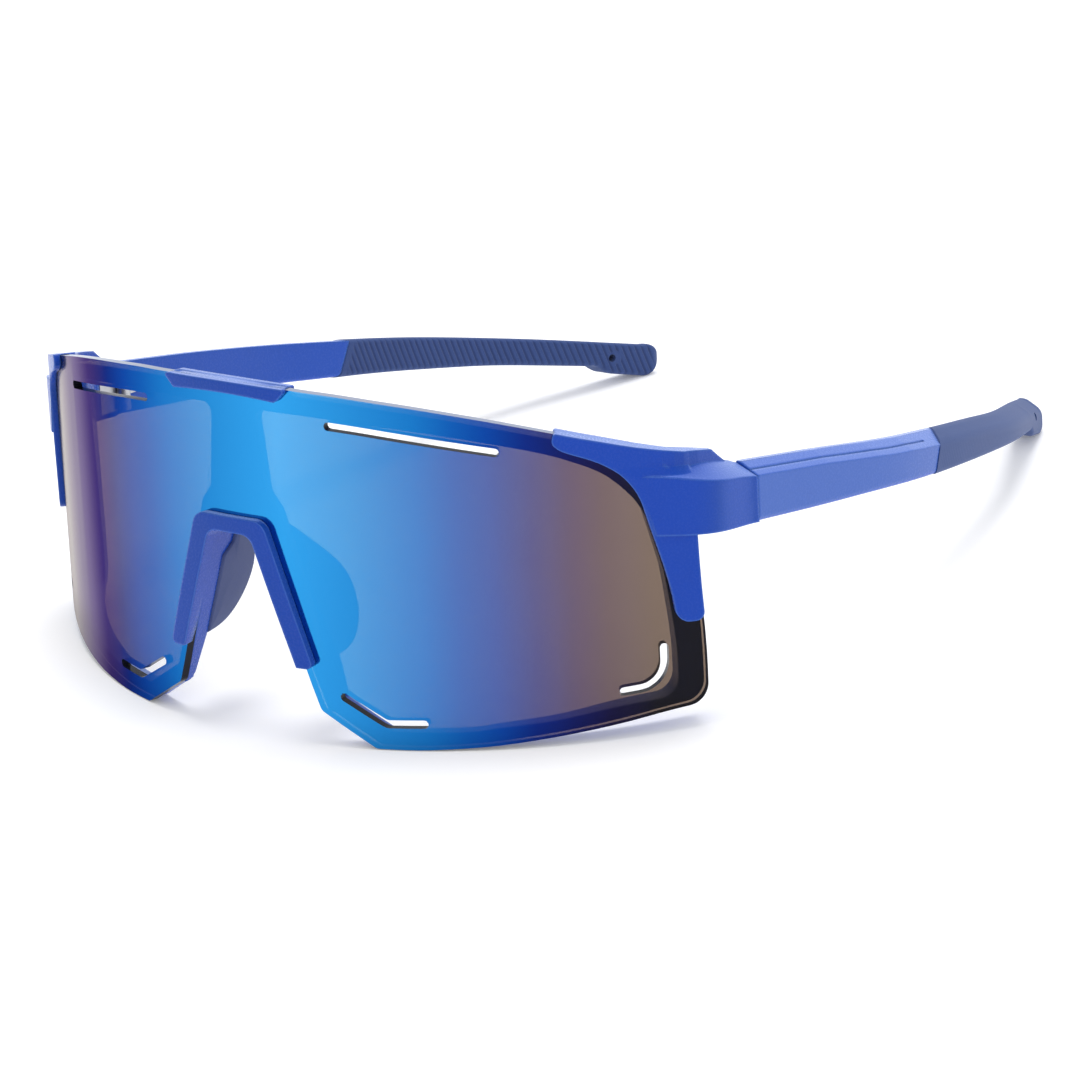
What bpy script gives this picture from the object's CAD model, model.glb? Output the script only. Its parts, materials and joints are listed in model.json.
import json
import math
import bpy
import numpy as np
from mathutils import Matrix, Vector


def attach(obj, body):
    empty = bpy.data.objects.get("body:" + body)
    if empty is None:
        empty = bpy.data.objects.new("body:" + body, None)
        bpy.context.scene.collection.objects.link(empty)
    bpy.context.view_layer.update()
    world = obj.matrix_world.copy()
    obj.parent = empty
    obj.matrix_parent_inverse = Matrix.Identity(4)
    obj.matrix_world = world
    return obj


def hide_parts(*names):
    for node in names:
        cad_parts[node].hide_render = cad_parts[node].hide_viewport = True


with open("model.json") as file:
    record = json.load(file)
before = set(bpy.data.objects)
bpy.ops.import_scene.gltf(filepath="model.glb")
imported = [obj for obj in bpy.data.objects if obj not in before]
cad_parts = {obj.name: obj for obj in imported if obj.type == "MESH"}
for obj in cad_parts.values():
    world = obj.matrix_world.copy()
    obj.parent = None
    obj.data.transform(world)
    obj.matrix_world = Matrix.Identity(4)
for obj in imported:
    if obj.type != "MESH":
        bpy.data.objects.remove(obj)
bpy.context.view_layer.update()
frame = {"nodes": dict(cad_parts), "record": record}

# ------------------------------------------------------------------ wearing frame -> row frame
# The hinge axis is vertical in the wearing frame, so the fold joint gives the tilt and the shift.
J = [j for j in frame["record"]["behaviour"]["joints"] if j["name"] == "left_fold"][0]
HINGE = (66.3, 46.7, 20.4)
TILT = -math.asin(J["axis"][1])
CT, ST = math.cos(TILT), math.sin(TILT)
def turn(p):
    return Vector((p[0], p[1] * CT - p[2] * ST, p[1] * ST + p[2] * CT))
SHIFT = Vector(J["pos_m"]) * 1000.0 - turn(HINGE)
def L(x, y, z):
    """mm in the wearing frame -> metres in the row frame"""
    return (turn((x, y, z)) + SHIFT) / 1000.0
def L_array(P):
    P = np.asarray(P, float)
    y = P[:, 1] * CT - P[:, 2] * ST + SHIFT.y
    z = P[:, 1] * ST + P[:, 2] * CT + SHIFT.z
    return np.stack([P[:, 0] + SHIFT.x, y, z], 1) / 1000.0

# ------------------------------------------------------------------ node helpers
class Nodes:
    def __init__(self, name):
        self.mat = bpy.data.materials.new(name)
        self.mat.use_nodes = True
        self.t = self.mat.node_tree
        self.t.nodes.clear()
        self.out = self.t.nodes.new("ShaderNodeOutputMaterial")
    def new(self, kind, **kw):
        n = self.t.nodes.new(kind)
        for k, v in kw.items():
            if k.startswith("i_"):
                key = k[2:]
                sock = n.inputs[int(key)] if key.isdigit() else n.inputs[key.replace("_", " ")]
                if isinstance(v, bpy.types.NodeSocket):
                    self.t.links.new(v, sock)
                else:
                    sock.default_value = v
            else:
                setattr(n, k, v)
        return n
    def link(self, a, b):
        self.t.links.new(a, b)
    def math(self, op, a, b=None, c=None, clamp=False):
        n = self.t.nodes.new("ShaderNodeMath")
        n.operation = op
        n.use_clamp = clamp
        for i, v in enumerate((a, b, c)):
            if v is None:
                continue
            if isinstance(v, bpy.types.NodeSocket):
                self.t.links.new(v, n.inputs[i])
            else:
                n.inputs[i].default_value = v
        return n.outputs[0]
    def ramp(self, fac, stops, interp="LINEAR"):
        n = self.t.nodes.new("ShaderNodeValToRGB")
        n.color_ramp.interpolation = interp
        el = n.color_ramp.elements
        while len(el) > 1:
            el.remove(el[-1])
        el[0].position = stops[0][0]
        el[0].color = tuple(stops[0][1]) + (1.0,)
        for p, c in stops[1:]:
            e = el.new(p)
            e.color = tuple(c) + (1.0,)
        self.t.links.new(fac, n.inputs[0])
        return n.outputs[0]
    def noise(self, vec, scale, detail=4.0, rough=0.55):
        n = self.t.nodes.new("ShaderNodeTexNoise")
        n.inputs["Scale"].default_value = scale
        n.inputs["Detail"].default_value = detail
        n.inputs["Roughness"].default_value = rough
        self.t.links.new(vec, n.inputs["Vector"])
        return n.outputs["Fac"]
    def mix(self, fac, a, b):
        n = self.t.nodes.new("ShaderNodeMix")
        n.data_type = "RGBA"
        for s, v in ((n.inputs[0], fac), (n.inputs[6], a), (n.inputs[7], b)):
            if isinstance(v, bpy.types.NodeSocket):
                self.t.links.new(v, s)
            elif s == n.inputs[0]:
                s.default_value = v
            else:
                s.default_value = tuple(v) + (1.0,)
        return n.outputs[2]
    def coords(self):
        n = self.t.nodes.new("ShaderNodeTexCoord")
        return n.outputs["Object"]
    def finish(self, shader):
        self.t.links.new(shader, self.out.inputs[0])
        return self.mat

def srgb(r, g, b):
    f = lambda c: c / 12.92 if c <= 0.04045 else ((c + 0.055) / 1.055) ** 2.4
    return tuple(f(x / 255.0) for x in (r, g, b))

def paint(obj, mat):
    if not obj.data.materials:
        obj.data.materials.append(mat)
    for s in obj.material_slots:
        s.link = "OBJECT"
        s.material = mat

# ------------------------------------------------------------------ materials
def make_blue(name, pale, lift):
    """Satin moulded plastic: deep blue seen square on, paler on the outer sides and the top faces."""
    n = Nodes(name)
    tc = n.new("ShaderNodeTexCoord")
    c = tc.outputs["Object"]
    pos = n.new("ShaderNodeSeparateXYZ", i_0=c)
    nor = n.new("ShaderNodeSeparateXYZ", i_0=tc.outputs["Normal"])
    big = n.noise(c, 55.0, 3.0)
    fine = n.noise(c, 2600.0, 3.0)
    mid = n.noise(c, 420.0, 4.0)
    bev = n.new("ShaderNodeBevel", samples=8, i_Radius=0.00065)
    lw = n.new("ShaderNodeLayerWeight", i_Blend=0.5, i_Normal=bev.outputs[0])
    face = lw.outputs["Facing"]
    deep = n.ramp(face, [(0.0, (.0015, .043, .37)), (0.12, (.002, .043, .35)), (0.33, (.005, .048, .30)),
                         (0.55, (.007, .060, .41)), (1.0, (.02, .09, .50))])
    deep = n.mix(n.math("MULTIPLY", big, 0.3), deep, (.003, .055, .44))
    deep = n.mix(n.math("MULTIPLY", mid, 0.08), deep, (.01, .09, .52))
    deep = n.mix(lift, deep, (.03, .105, .52))
    # outer sides
    sgn = n.math("SIGN", pos.outputs[0])
    outer = n.math("MULTIPLY_ADD", n.math("MULTIPLY", nor.outputs[0], sgn), 4.0, -2.6, clamp=True)
    a = n.math("DIVIDE", n.math("SUBTRACT", face, 0.28), 0.11, clamp=True)
    b = n.math("DIVIDE", n.math("SUBTRACT", 0.72, face), 0.12, clamp=True)
    side = n.math("MULTIPLY", n.math("MULTIPLY", a, b), outer)
    base = n.mix(n.math("MULTIPLY", side, n.math("MULTIPLY_ADD", mid, 0.12, pale)), deep, (.062, .138, .47))
    # top faces
    up = n.math("MULTIPLY_ADD", nor.outputs[2], 2.4, -1.2, clamp=True)
    g = n.math("DIVIDE", n.math("SUBTRACT", face, 0.42), 0.3, clamp=True)
    base = n.mix(n.math("MULTIPLY", n.math("MULTIPLY", up, g), n.math("MULTIPLY_ADD", big, 0.2, 0.68)), base, (.27, .38, .76))
    # moulded edges catch the light
    geo = n.new("ShaderNodeNewGeometry")
    dot = n.new("ShaderNodeVectorMath", operation="DOT_PRODUCT", i_0=bev.outputs[0], i_1=geo.outputs["True Normal"])
    rim = n.math("MULTIPLY", n.math("SUBTRACT", 0.985, dot.outputs["Value"]), 5.0, clamp=True)
    base = n.mix(n.math("MULTIPLY", rim, 0.5), base, (.10, .24, .72))
    rough = n.math("MULTIPLY_ADD", fine, 0.10, 0.22)
    bump = n.new("ShaderNodeBump", i_Strength=0.012, i_Distance=0.0001, i_Height=fine, i_Normal=bev.outputs[0])
    p = n.new("ShaderNodeBsdfPrincipled", i_Base_Color=base, i_Roughness=rough, i_Normal=bump.outputs[0])
    p.inputs["Specular IOR Level"].default_value = 0.13
    p.inputs["Coat Weight"].default_value = 0.12
    p.inputs["Coat Roughness"].default_value = 0.1
    return n.finish(p.outputs[0])

def make_steel():
    n = Nodes("hinge_steel_mat")
    c = n.coords()
    m = n.new("ShaderNodeMapping", i_Vector=c)
    m.inputs["Scale"].default_value = (1.0, 1.0, 14.0)
    streak = n.noise(m.outputs[0], 900.0, 5.0)
    spots = n.noise(c, 260.0, 3.0)
    base = n.mix(streak, srgb(150, 151, 155), srgb(205, 206, 210))
    rough = n.math("MULTIPLY_ADD", spots, 0.22, 0.2)
    bump = n.new("ShaderNodeBump", i_Strength=0.12, i_Distance=0.00005, i_Height=streak)
    p = n.new("ShaderNodeBsdfPrincipled", i_Base_Color=base, i_Roughness=rough, i_Metallic=1.0, i_Normal=bump.outputs[0])
    return n.finish(p.outputs[0])

def make_rubber(name, dark, light, dusty, groove=None):
    """Matte soft rubber; outer faces look dusty at glancing angles."""
    n = Nodes(name)
    c = n.coords()
    grain = n.noise(c, 3800.0, 4.0, 0.7)
    cloud = n.noise(c, 90.0, 3.0)
    base = n.mix(cloud, dark, light)
    base = n.mix(n.math("MULTIPLY", grain, 0.35), base, dusty)
    if groove:
        a = n.new("ShaderNodeAttribute", attribute_name="groove")
        base = n.mix(n.math("MULTIPLY", a.outputs["Fac"], 0.5), base, groove)
    lw = n.new("ShaderNodeLayerWeight", i_Blend=0.35)
    base = n.mix(n.math("MULTIPLY", lw.outputs["Facing"], 0.35), base, dusty)
    bump = n.new("ShaderNodeBump", i_Strength=0.22, i_Distance=0.00008, i_Height=grain)
    p = n.new("ShaderNodeBsdfPrincipled", i_Base_Color=base, i_Roughness=0.72, i_Normal=bump.outputs[0])
    p.inputs["Specular IOR Level"].default_value = 0.3
    p.inputs["Sheen Weight"].default_value = 0.12
    p.inputs["Sheen Roughness"].default_value = 0.5
    return n.finish(p.outputs[0])

def make_lens():
    """Multicolour mirror coat on the front face, clear body, dark cut edges.
    The colour runs with the angle round the lens and shifts a little with the view."""
    n = Nodes("mirror_lens_mat")
    geo = n.new("ShaderNodeNewGeometry")
    c = n.coords()
    sep = n.new("ShaderNodeSeparateXYZ", i_0=c)
    # back to the wearing frame: undo shift and tilt, in mm
    yr = n.math("SUBTRACT", n.math("MULTIPLY", sep.outputs[1], 1000.0), SHIFT.y)
    zr = n.math("SUBTRACT", n.math("MULTIPLY", sep.outputs[2], 1000.0), SHIFT.z)
    X = n.math("MULTIPLY", sep.outputs[0], 1000.0)
    Y = n.math("ADD", n.math("MULTIPLY", yr, CT), n.math("MULTIPLY", zr, ST))
    D = n.math("SUBTRACT", 88.0, Y)
    rad = n.math("SQRT", n.math("ADD", n.math("MULTIPLY", X, X), n.math("MULTIPLY", D, D)))
    theta = n.math("MULTIPLY", n.math("ARCTAN2", X, D), 57.29578)
    inc = n.new("ShaderNodeSeparateXYZ", i_0=geo.outputs["Incoming"])
    az = n.math("MULTIPLY", n.math("ARCTAN2", inc.outputs[0], n.math("ABSOLUTE", inc.outputs[1])), 57.29578)
    q = n.math("ABSOLUTE", n.math("SUBTRACT", theta, n.math("MULTIPLY", az, 0.155)))
    wob = n.noise(c, 38.0, 2.0)
    q = n.math("ADD", q, n.math("MULTIPLY", n.math("SUBTRACT", wob, 0.5), 1.6))
    f = n.math("DIVIDE", q, 56.0, clamp=True)
    S = lambda d: d / 56.0
    refl = n.ramp(f, [(S(0), (.034, .385, .88)), (S(8), (.024, .295, .73)), (S(16), (.012, .195, .59)), (S(20), (.008, .115, .475)),
                      (S(24), (.006, .063, .376)), (S(28), (.008, .026, .225)), (S(32), (.0105, .0155, .12)), (S(36), (.0135, .0115, .05)),
                      (S(41), (.0144, .0137, .016))])
    trans = n.ramp(f, [(S(0), (.072, .075, .03)), (S(8), (.068, .064, .022)), (S(16), (.067, .042, .012)), (S(24), (.092, .078, .028)),
                       (S(28), (.113, .092, .056)), (S(33), (.148, .10, .066)), (S(38), (.182, .129, .098)), (S(44), (.208, .148, .106))])
    # cut edges
    nz = n.new("ShaderNodeSeparateXYZ", i_0=geo.outputs["Normal"])
    up = n.math("MULTIPLY", n.math("SUBTRACT", nz.outputs[2], 0.45), 3.0, clamp=True)
    height = n.math("SUBTRACT", n.math("MULTIPLY", zr, CT), n.math("MULTIPLY", yr, ST))
    ang = n.math("DIVIDE", theta, 57.29578)
    brow_line = n.math("SUBTRACT", 39.0, n.math("MULTIPLY", n.math("MULTIPLY", ang, ang), 15.5))
    up = n.math("MULTIPLY", up, n.math("GREATER_THAN", height, brow_line))
    grain = n.noise(c, 700.0, 3.0)
    ecol = n.mix(grain, srgb(20, 22, 30), srgb(30, 32, 42))
    ecol = n.mix(up, ecol, srgb(150, 158, 178))
    edge = n.new("ShaderNodeBsdfPrincipled", i_Base_Color=ecol, i_Roughness=0.22)
    edge.inputs["Specular IOR Level"].default_value = 0.12
    # front face
    lw = n.new("ShaderNodeLayerWeight", i_Blend=0.5)
    cosv = n.math("SUBTRACT", 1.0, lw.outputs["Facing"])
    slant = n.math("DIVIDE", n.math("SUBTRACT", 0.42, cosv), 0.15, clamp=True)
    refl = n.mix(slant, refl, (.105, .052, .25))
    seen = n.mix(n.math("MULTIPLY_ADD", slant, 0.66, 0.12), trans, (0.0, 0.0, 0.0))
    see = n.new("ShaderNodeBsdfTransparent", i_Color=seen)
    micro = n.noise(c, 1500.0, 2.0)
    bump = n.new("ShaderNodeBump", i_Strength=0.012, i_Distance=0.00005, i_Height=micro)
    refl = n.mix(0.27, refl, (0.0, 0.0, 0.0))
    gl = n.new("ShaderNodeBsdfAnisotropic", i_Color=refl, i_Roughness=0.1, i_Normal=bump.outputs[0])
    add = n.new("ShaderNodeAddShader", i_0=see.outputs[0], i_1=gl.outputs[0])
    haze = n.math("POWER", n.math("DIVIDE", n.math("SUBTRACT", 0.34, cosv), 0.23, clamp=True), 1.35)
    white = n.new("ShaderNodeBsdfAnisotropic", i_Color=(0.47, 0.435, 0.42, 1.0), i_Roughness=0.16)
    front = n.new("ShaderNodeMixShader", i_0=haze, i_1=add.outputs[0], i_2=white.outputs[0])
    # seen from behind, the coat is a dark blue-grey tint
    tint = n.mix(0.35, trans, (0.12, 0.13, 0.15))
    see2 = n.new("ShaderNodeBsdfTransparent", i_Color=tint)
    gl2 = n.new("ShaderNodeBsdfAnisotropic", i_Color=(0.035, 0.04, 0.06, 1.0), i_Roughness=0.05)
    rear = n.new("ShaderNodeAddShader", i_0=see2.outputs[0], i_1=gl2.outputs[0])
    coat = n.new("ShaderNodeMixShader", i_0=geo.outputs["Backfacing"], i_1=front.outputs[0], i_2=rear.outputs[0])
    # inner face: clear with a weak reflection
    fr = n.new("ShaderNodeFresnel", i_IOR=1.35)
    clear = n.new("ShaderNodeBsdfTransparent", i_Color=(0.97, 0.97, 0.98, 1.0))
    gl3 = n.new("ShaderNodeBsdfAnisotropic", i_Color=(0.5, 0.5, 0.55, 1.0), i_Roughness=0.04)
    weak = n.math("MULTIPLY", n.math("MULTIPLY", fr.outputs[0], 0.35), n.math("SUBTRACT", 1.0, geo.outputs["Backfacing"]))
    inner = n.new("ShaderNodeMixShader", i_0=weak, i_1=clear.outputs[0], i_2=gl3.outputs[0])
    is_front = n.math("GREATER_THAN", rad, 87.93)
    is_inner = n.math("LESS_THAN", rad, 86.57)
    m1 = n.new("ShaderNodeMixShader", i_0=is_inner, i_1=edge.outputs[0], i_2=inner.outputs[0])
    # the edge faces start where the normal leaves the radial direction
    rx = n.math("DIVIDE", X, rad)
    ry = n.math("DIVIDE", n.math("MULTIPLY", D, -1.0), rad)
    nyl = n.math("ADD", n.math("MULTIPLY", nz.outputs[1], CT), n.math("MULTIPLY", nz.outputs[2], ST))
    dot = n.math("ABSOLUTE", n.math("ADD", n.math("MULTIPLY", nz.outputs[0], rx), n.math("MULTIPLY", nyl, ry)))
    flat = n.math("GREATER_THAN", dot, 0.8)
    m2 = n.new("ShaderNodeMixShader", i_0=is_front, i_1=m1.outputs[0], i_2=coat.outputs[0])
    m3 = n.new("ShaderNodeMixShader", i_0=flat, i_1=edge.outputs[0], i_2=m2.outputs[0])
    return n.finish(m3.outputs[0])

BLUE = make_blue("blue_frame_mat", 0.14, 0.08)
BLUE_ARM = make_blue("blue_arm_mat", 0.84, 0.55)
STEEL = make_steel()
LENS = make_lens()
PADM = make_rubber("dark_rubber_mat", srgb(52, 66, 112), srgb(62, 76, 122), srgb(92, 104, 146))
TIPM = make_rubber("navy_rubber_mat", srgb(26, 48, 105), srgb(33, 58, 116), srgb(82, 107, 157), srgb(18, 32, 75))

nodes = frame["nodes"]
paint(nodes["lens_shield"], LENS)
paint(nodes["front_frame"], BLUE)
for s in ("left", "right"):
    paint(nodes["temple_arm_" + s], BLUE_ARM)
    for k in ("frame_hinge_", "temple_hinge_", "hinge_screw_"):
        paint(nodes[k + s], STEEL)

# ------------------------------------------------------------------ curves
def natural_spline(t, P):
    """Natural cubic spline through P at t; returns a function of t."""
    t, P = np.asarray(t, float), np.asarray(P, float)
    if P.ndim == 1:
        P = P[:, None]
    n = len(t)
    h = np.diff(t)
    A = np.zeros((n, n)); R = np.zeros((n, P.shape[1]))
    A[0, 0] = A[-1, -1] = 1.0
    for i in range(1, n - 1):
        A[i, i - 1], A[i, i], A[i, i + 1] = h[i - 1], 2 * (h[i - 1] + h[i]), h[i]
        R[i] = 6 * ((P[i + 1] - P[i]) / h[i] - (P[i] - P[i - 1]) / h[i - 1])
    M = np.linalg.solve(A, R)
    def f(x):
        x = np.atleast_1d(np.asarray(x, float))
        i = np.clip(np.searchsorted(t, x) - 1, 0, n - 2)
        a = (t[i + 1] - x)[:, None]; b = (x - t[i])[:, None]; hh = h[i][:, None]
        return (M[i] * a ** 3 + M[i + 1] * b ** 3) / (6 * hh) + (P[i] / hh - M[i] * hh / 6) * a + (P[i + 1] / hh - M[i + 1] * hh / 6) * b
    return f

HY = HINGE[1]
PLAN = np.array([(69.75, 40.0), (69.75, HY), (69.9, 60.0), (69.95, 75.0), (69.4, 90.0), (67.85, 101.0), (66.65, 108.0), (64.5, 118.0),
                 (61.85, 128.0), (58.4, 139.0), (53.7, 150.0), (48.95, 160.0), (45.4, 168.0), (41.8, 177.0)])
_t = np.r_[0, np.cumsum(np.linalg.norm(np.diff(PLAN, axis=0), axis=1))]
_f = natural_spline(_t, PLAN)
_s = np.linspace(0, _t[-1], 1600)
_P = _f(_s)
_T = np.gradient(_P, _s, axis=0)
_T /= np.linalg.norm(_T, axis=1)[:, None]
_N = np.stack([_T[:, 1], -_T[:, 0]], 1)          # outwards
U_TAB = np.linspace(-3.2, 3.2, 65)
Y_TAB = np.linspace(92.0, 175.0, 1661)
X_TAB = np.array([np.interp(Y_TAB, _P[:, 1] + u * _N[:, 1], _P[:, 0] + u * _N[:, 0]) for u in U_TAB])
def X_of(u, y):
    """x of the point at offset u from the centre line whose y is y."""
    u = np.clip(np.asarray(u, float), U_TAB[0], U_TAB[-1]); y = np.asarray(y, float)
    fu = (u - U_TAB[0]) / (U_TAB[1] - U_TAB[0]); i = np.clip(fu.astype(int), 0, len(U_TAB) - 2); fu = fu - i
    fy = np.clip((y - Y_TAB[0]) / (Y_TAB[1] - Y_TAB[0]), 0, len(Y_TAB) - 1.001); j = fy.astype(int); fy = fy - j
    a = X_TAB[i, j] * (1 - fy) + X_TAB[i, j + 1] * fy
    b = X_TAB[i + 1, j] * (1 - fy) + X_TAB[i + 1, j + 1] * fy
    return a * (1 - fu) + b * fu

YA = HY + 0.075
TOPL = [(30.0, 28.2), (YA, 25.3), (66.8, 22.3), (81.2, 19.9), (99.7, 16.75), (108.0, 15.35), (123.2, 12.6), (138.6, 9.4),
        (150.2, 6.95), (162.0, 4.3), (171.0, 2.25), (180.0, 0.2)]
BOTL = [(30.0, 17.6), (YA, 15.6), (66.8, 13.4), (87.4, 11.2), (99.7, 9.6), (108.0, 8.6), (118.0, 7.3), (128.0, 5.85),
        (139.0, 4.15), (150.0, 2.1), (157.0, 0.75), (180.0, -4.0)]
top_f = natural_spline([p[0] for p in TOPL], [p[1] for p in TOPL])
bot_f = natural_spline([p[0] for p in BOTL], [p[1] for p in BOTL])
HOOK = [(157.6, None), (158.8, 0.42), (159.6, 0.08), (160.4, -0.6), (161.1, -1.2), (161.8, -1.62), (162.6, -1.88), (163.6, -2.12), (168.9, -3.42), (172.5, -4.3)]

def T_of(y):
    y = np.asarray(y, float)
    z = top_f(y)[:, 0] + 0.15
    k = np.clip((y - 168.6) / 3.4, 0, 1)
    z = np.where(y > 168.6, 0.2 + (top_f(np.full_like(y, 168.6))[:, 0] - 0.05) * (1 - k ** 2.2) ** 0.5 , z)
    return z
def B_of(y):
    y = np.asarray(y, float)
    z = bot_f(np.minimum(y, 158.5))[:, 0] - 0.1
    b0 = float(bot_f([157.6])[0, 0]) - 0.1
    hk = np.interp(y, [p[0] for p in HOOK], [b0] + [p[1] for p in HOOK[1:]])
    z = np.where(y > 157.6, hk, z)
    k = np.clip((y - 168.9) / 3.1, 0, 1)
    z = np.where(y > 168.9, 0.2 - 3.6 * (1 - k ** 2.2) ** 0.5, z)
    return z

def rounded(corners, straight, arc):
    """Closed outline through rounded corners: corners [(x, y, r)], points per side, points per corner.
    Also returns for each point its side number, or -1 on a corner."""
    n = len(corners)
    pts, side = [], []
    data = []
    for i in range(n):
        x, y, r = corners[i]
        x0, y0, _ = corners[i - 1]; x1, y1, _ = corners[(i + 1) % n]
        ax, ay, bx, by = x0 - x, y0 - y, x1 - x, y1 - y
        la, lb = math.hypot(ax, ay) + 1e-9, math.hypot(bx, by) + 1e-9
        ax, ay, bx, by = ax / la, ay / la, bx / lb, by / lb
        ang = math.acos(max(-1.0, min(1.0, ax * bx + ay * by)))
        d = min(r / max(1e-6, math.tan(ang / 2)), 0.49 * la, 0.49 * lb)
        data.append(((x, y), (x + ax * d, y + ay * d), (x + bx * d, y + by * d)))
    for i in range(n):
        c, p, q = data[i]
        for k in range(arc + 1):
            t = k / arc
            # conic close to an arc
            w = 0.75
            a, b, e = (1 - t) ** 2, 2 * t * (1 - t) * w, t * t
            pts.append(((a * p[0] + b * c[0] + e * q[0]) / (a + b + e), (a * p[1] + b * c[1] + e * q[1]) / (a + b + e)))
            side.append(-1)
        q2 = data[(i + 1) % n][1]
        m = straight[i]
        for k in range(1, m):
            t = k / m
            pts.append((q[0] + (q2[0] - q[0]) * t, q[1] + (q2[1] - q[1]) * t))
            side.append(i)
    return np.array(pts), np.array(side)

def section(y):
    T, B = float(T_of([y])[0]), float(B_of([y])[0])
    h = 2.45
    if y > 169.8:
        k = min(1.0, (y - 169.8) / 2.3)
        h = 2.45 * (1 - 0.42 * k ** 2.4)
    H = T - B
    s = min(1.0, H / 5.0)
    drop = 1.75 * s
    cs = [(-h, T, 0.8 * s), (-h, B, 1.0 * s), (h, B, 1.15 * s), (h, T - drop, 2.0 * s), (h - 3.1 * s, T, 2.2 * s)]
    return rounded(cs, (30, 7, 12, 3, 2), 6)

JX, JY, JZ = 67.2, 103.9, 12.5
Y_END = 171.93

def rib(phase):
    """0 on the land, 1 in the groove."""
    f = phase - np.floor(phase)
    g = np.clip((np.cos((f - 0.5) * 2 * np.pi) - 0.05) / 0.75, 0, 1)
    return g * g * (3 - 2 * g)

def mesh_object(name, verts, faces, smooth=True, groove=None):
    me = bpy.data.meshes.new(name)
    me.from_pydata([tuple(v) for v in verts], [], faces)
    me.update()
    if groove is not None:
        at = me.attributes.new("groove", "FLOAT", "POINT")
        at.data.foreach_set("value", np.asarray(groove, np.float32))
    if smooth:
        me.polygons.foreach_set("use_smooth", [True] * len(me.polygons))
    ob = bpy.data.objects.new(name, me)
    bpy.context.scene.collection.objects.link(ob)
    return ob

def make_tip(side):
    sg = 1.0 if side == "left" else -1.0
    ys = np.linspace(97.0, Y_END, 760)
    secs = [section(y)[0] for y in ys]
    sides = section(120.0)[1]
    Uk = np.array([s[:, 0] for s in secs]); Zk = np.array([s[:, 1] for s in secs])
    n = Uk.shape[1]
    # start of every lengthwise line on the oblique joint plane
    y0 = np.full(n, JY)
    for _ in range(12):
        u = np.array([np.interp(y0[j], ys, Uk[:, j]) for j in range(n)])
        z = np.array([np.interp(y0[j], ys, Zk[:, j]) for j in range(n)])
        y0 = JY + 0.38 * (z - JZ) - 0.72 * (X_of(u, y0) - JX)
    t = np.linspace(0, 1, 520)
    t = np.r_[t[:-1] * 0.965 / t[-2], 0.965 + 0.035 * np.sin(np.linspace(0, 1, 26)[1:] * np.pi / 2)]
    m = len(t)
    Y = y0[None, :] + (Y_END - y0)[None, :] * t[:, None]
    U = np.stack([np.interp(Y[:, j], ys, Uk[:, j]) for j in range(n)], 1)
    Z = np.stack([np.interp(Y[:, j], ys, Zk[:, j]) for j in range(n)], 1)
    # grip ribs on the inner face
    Tm, Bm = T_of(Y.ravel()).reshape(Y.shape), B_of(Y.ravel()).reshape(Y.shape)
    v = (Z - Bm) / np.maximum(Tm - Bm, 1e-3)
    w = np.clip((-U - 1.9) / 0.4, 0, 1) * np.clip(v / 0.10, 0, 1) * np.clip((1 - v) / 0.13, 0, 1)
    w = w * np.clip((Y - y0[None, :] - 0.8) / 0.8, 0, 1) * np.clip((170.9 - Y) / 1.2, 0, 1)
    # a smooth pad round the cord hole
    hole = np.hypot(Y - 162.6, Z - 1.5)
    w = w * np.clip((hole - 1.15) / 0.35, 0, 1)
    g = rib((Y + 0.35 * Z) / 1.22) * w
    U = U + 0.13 * g
    # faint moulding relief on the outer face
    wo = np.clip((U - 1.9) / 0.4, 0, 1) * np.clip(v / 0.12, 0, 1) * np.clip((0.72 - v) / 0.12, 0, 1)
    U = U - 0.012 * wo * (1 + np.sin((Y * 1.0 - 0.46 * Z) * 2 * np.pi / 0.8)) / 2
    X = X_of(U, Y) * sg
    P = L_array(np.stack([X.ravel(), Y.ravel(), Z.ravel()], 1))
    faces = []
    for i in range(m - 1):
        for j in range(n):
            a, b = i * n + j, i * n + (j + 1) % n
            c, d = (i + 1) * n + (j + 1) % n, (i + 1) * n + j
            faces.append((a, b, c, d) if sg > 0 else (d, c, b, a))
    # caps: fans round a middle point
    P = np.vstack([P, P[:n].mean(0)[None], P[-n:].mean(0)[None]])
    c0, c1 = len(P) - 2, len(P) - 1
    for j in range(n):
        k = (j + 1) % n
        faces.append((c0, k, j) if sg > 0 else (j, k, c0))
        e = (m - 1) * n
        faces.append((c1, e + j, e + k) if sg > 0 else (e + k, e + j, c1))
    gv = np.r_[g.ravel(), 0.0, 0.0]
    ob = mesh_object("soft_tip_" + side, P, faces, True, gv)
    # cord hole
    c = L(sg * 47.65, 163.0, 1.5)
    d = (L(sg * (47.65 + 0.912), 163.41, 1.5) - c).normalized()
    ring, hv, hf = 28, [], []
    ax = d.to_track_quat("Z", "Y").to_matrix()
    for e, o in enumerate((-0.006, 0.006)):
        for k in range(ring):
            a = 2 * math.pi * k / ring
            hv.append(c + ax @ Vector((0.00075 * math.cos(a), 0.00075 * math.sin(a), o)))
    for k in range(ring):
        q = (k + 1) % ring
        hf.append((k, q, ring + q, ring + k))
    hf.append(tuple(reversed(range(ring)))); hf.append(tuple(range(ring, 2 * ring)))
    cut = mesh_object("cutter_" + side, hv, hf, False)
    mod = ob.modifiers.new("hole", "BOOLEAN")
    mod.operation = "DIFFERENCE"; mod.solver = "EXACT"; mod.object = cut
    dg = bpy.context.evaluated_depsgraph_get()
    me = bpy.data.meshes.new_from_object(ob.evaluated_get(dg))
    old = ob.data
    ob.modifiers.clear()
    ob.data = me
    me.name = "soft_tip_mesh_" + side
    bpy.data.meshes.remove(old)
    bpy.data.objects.remove(cut)
    ob.data.materials.clear()
    ob.data.materials.append(TIPM)
    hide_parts("temple_tip_" + side)
    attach(ob, "temple_" + side)
    return ob

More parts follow.
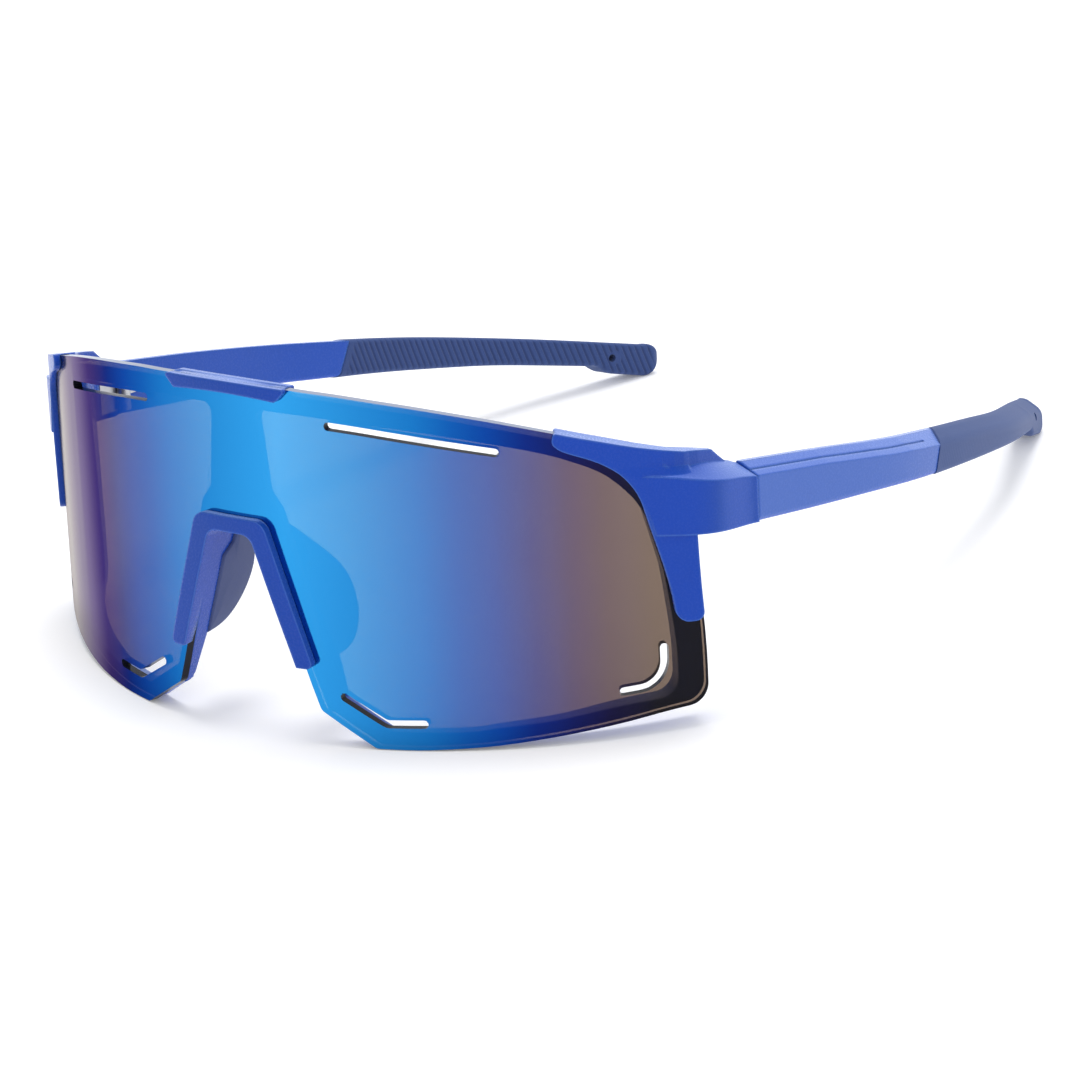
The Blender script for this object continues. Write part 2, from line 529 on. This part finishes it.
def make_pad(side):
    """Soft wing: rounded rim, slightly cushioned skin side."""
    sg = 1.0 if side == "left" else -1.0
    PAD = np.array([(6.45, -5.2), (10.9, -4.3), (13.9, -1.7), (15.6, 2.4), (15.7, 5.2), (14.7, 8.2), (11.9, 11.6), (9.1, 14.5), (7.4, 16.2)])
    tt = np.r_[0, np.cumsum(np.linalg.norm(np.diff(PAD, axis=0), axis=1))]
    f = natural_spline(tt, PAD)
    arc = f(np.linspace(0, tt[-1], 90))
    front = np.array([(7.25, 16.0), (7.3, 11.6), (5.3, 9.5), (6.35, -5.0)])
    fr = []
    for a, b in zip(np.vstack([arc[-1:], front]), np.vstack([front, arc[:1]])):
        k = max(2, int(np.linalg.norm(b - a) / 0.35))
        fr += [a + (b - a) * i / k for i in range(1, k)] + [b]
    loop = np.vstack([arc, np.array(fr[:-1])])
    n = len(loop)
    cen = np.array([10.3, 5.0])
    T = 1.5
    dist = np.linalg.norm(loop - cen, axis=1)
    r = 0.55
    verts, faces, rows = [], [], []
    def ring(inset, x, close=0.0):
        k = (1 - inset / dist) * (1 - close)
        p = cen + (loop - cen) * k[:, None]
        rows.append(len(verts))
        for (y, z), d in zip(p, dist * (1 - k)):
            # cushion on the skin side
            bulge = -0.28 * min(1.0, d / 3.5) ** 0.8 if x < T / 2 else 0.0
            verts.append((x + bulge - 0.385 * z + 0.10 * y + 10.3, y, z))
    # all rings in order: middle of the outer side, rim, middle of the skin side
    inner = [0.12, 0.26, 0.42, 0.6, 0.8, 0.94]
    seq = [(r, T, i) for i in inner[::-1]]
    for k in range(0, 9):
        a = math.pi / 2 * (1 - k / 8)
        seq.append((r * (1 - math.cos(a)), T - r + r * math.sin(a), 0.0))
    for k in range(0, 9):
        a = math.pi / 2 * k / 8
        seq.append((r * (1 - math.cos(a)), r - r * math.sin(a), 0.0))
    seq += [(r, 0.0, i) for i in inner]
    for q in seq:
        ring(*q)
    m = len(rows)
    for i in range(m - 1):
        for j in range(n):
            k = (j + 1) % n
            a, b, c, d = rows[i] + j, rows[i] + k, rows[i + 1] + k, rows[i + 1] + j
            faces.append((a, b, c, d) if sg < 0 else (d, c, b, a))
    V3 = np.array(verts)
    V3 = np.vstack([V3, V3[rows[0]:rows[0] + n].mean(0)[None], V3[rows[-1]:rows[-1] + n].mean(0)[None]])
    c0, c1 = len(V3) - 2, len(V3) - 1
    for j in range(n):
        k = (j + 1) % n
        faces.append((c0, rows[0] + k, rows[0] + j) if sg < 0 else (rows[0] + j, rows[0] + k, c0))
        faces.append((c1, rows[-1] + j, rows[-1] + k) if sg < 0 else (rows[-1] + k, rows[-1] + j, c1))
    V3[:, 0] *= sg
    ob = mesh_object("soft_pad_" + side, L_array(V3), faces)
    ob.data.materials.append(PADM)
    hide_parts("nose_pad_" + side)
    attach(ob, "front")
    return ob

for s in ("left", "right"):
    make_tip(s)
    make_pad(s)

# ------------------------------------------------------------------ stage
def make_floor():
    n = Nodes("floor_mat")
    c = n.coords()
    a = n.noise(c, 9.0, 3.0)
    b = n.noise(c, 900.0, 2.0)
    base = n.mix(a, (0.93, 0.93, 0.935), (0.95, 0.95, 0.955))
    rough = n.math("MULTIPLY_ADD", b, 0.1, 0.6)
    p = n.new("ShaderNodeBsdfPrincipled", i_Base_Color=base, i_Roughness=rough)
    p.inputs["Specular IOR Level"].default_value = 0.1
    p.inputs["Emission Color"].default_value = (1.0, 1.0, 1.0, 1.0)
    p.inputs["Emission Strength"].default_value = 0.15
    # seen from below the floor is clear, so the underside can be looked at
    geo = n.new("ShaderNodeNewGeometry")
    clear = n.new("ShaderNodeBsdfTransparent", i_Color=(1.0, 1.0, 1.0, 1.0))
    two = n.new("ShaderNodeMixShader", i_0=geo.outputs["Backfacing"], i_1=p.outputs[0], i_2=clear.outputs[0])
    return n.finish(two.outputs[0])
R = 6.0
floor = mesh_object("floor", [(-R, -R, -0.00002), (R, -R, -0.00002), (R, R, -0.00002), (-R, R, -0.00002)], [(0, 1, 2, 3)], False)
floor.data.materials.append(make_floor())

world = bpy.data.worlds.new("studio")
bpy.context.scene.world = world
world.use_nodes = True
wt = world.node_tree
wt.nodes.clear()
wo = wt.nodes.new("ShaderNodeOutputWorld")
bg = wt.nodes.new("ShaderNodeBackground")
tc = wt.nodes.new("ShaderNodeTexCoord")
sx = wt.nodes.new("ShaderNodeSeparateXYZ")
wt.links.new(tc.outputs["Generated"], sx.inputs[0])
rm = wt.nodes.new("ShaderNodeValToRGB")
mp = wt.nodes.new("ShaderNodeMapRange")
mp.inputs[1].default_value, mp.inputs[2].default_value = -0.1, 1.0
wt.links.new(sx.outputs[2], mp.inputs[0])
wt.links.new(mp.outputs[0], rm.inputs[0])
rm.color_ramp.elements[0].position = 0.0
rm.color_ramp.elements[0].color = (0.82, 0.84, 0.88, 1)
rm.color_ramp.elements[1].position = 1.0
rm.color_ramp.elements[1].color = (1.0, 1.0, 1.0, 1)
wt.links.new(rm.outputs[0], bg.inputs[0])
bg.inputs[1].default_value = 0.8
wt.links.new(bg.outputs[0], wo.inputs[0])

def sun(name, az, el, angle, power, color=(1, 1, 1)):
    d = bpy.data.lights.new(name, "SUN")
    d.energy, d.angle, d.color = power, math.radians(angle), color
    o = bpy.data.objects.new(name, d)
    a, e = math.radians(az), math.radians(el)
    to = Vector((math.sin(a) * math.cos(e), -math.cos(a) * math.cos(e), math.sin(e)))
    o.rotation_mode = "QUATERNION"
    o.rotation_quaternion = to.to_track_quat("Z", "Y")
    o.location = to * 2.0
    bpy.context.scene.collection.objects.link(o)
    return o
sun("key", -165, 78, 32, 1.55)
sun("fill", 70, 30, 60, 0.35)

# ------------------------------------------------------------------ camera
YAW, PITCH, ROLL = 0.6732126561478546, 0.28995480181960936, -0.05081404315250322
TX, TY, DIST, FOCAL, K = 44.71717213382888, 12.665425600224841, 768.6458328220787, 5153.807620410582, 1.1
back = Vector((math.sin(YAW) * math.cos(PITCH), -math.cos(YAW) * math.cos(PITCH), math.sin(PITCH)))
right0 = Vector((math.cos(YAW), math.sin(YAW), 0.0))
up0 = back.cross(right0)
right = right0 * math.cos(ROLL) + up0 * math.sin(ROLL)
up = up0 * math.cos(ROLL) - right0 * math.sin(ROLL)
pos = (right * TX + up * TY + back * DIST) * K
cam_data = bpy.data.cameras.new("camera")
cam_data.sensor_width = 36.0
cam_data.lens = FOCAL / 1080.0 * 36.0
cam_data.clip_start, cam_data.clip_end = 0.05, 30.0
cam = bpy.data.objects.new("camera", cam_data)
rr, uu, bb = turn(right), turn(up), turn(back)
m = Matrix(((rr.x, uu.x, bb.x, 0), (rr.y, uu.y, bb.y, 0), (rr.z, uu.z, bb.z, 0), (0, 0, 0, 1)))
m.translation = L(*pos)
cam.matrix_world = m
bpy.context.scene.collection.objects.link(cam)
bpy.context.scene.camera = cam
bpy.context.scene.view_settings.view_transform = "Standard"
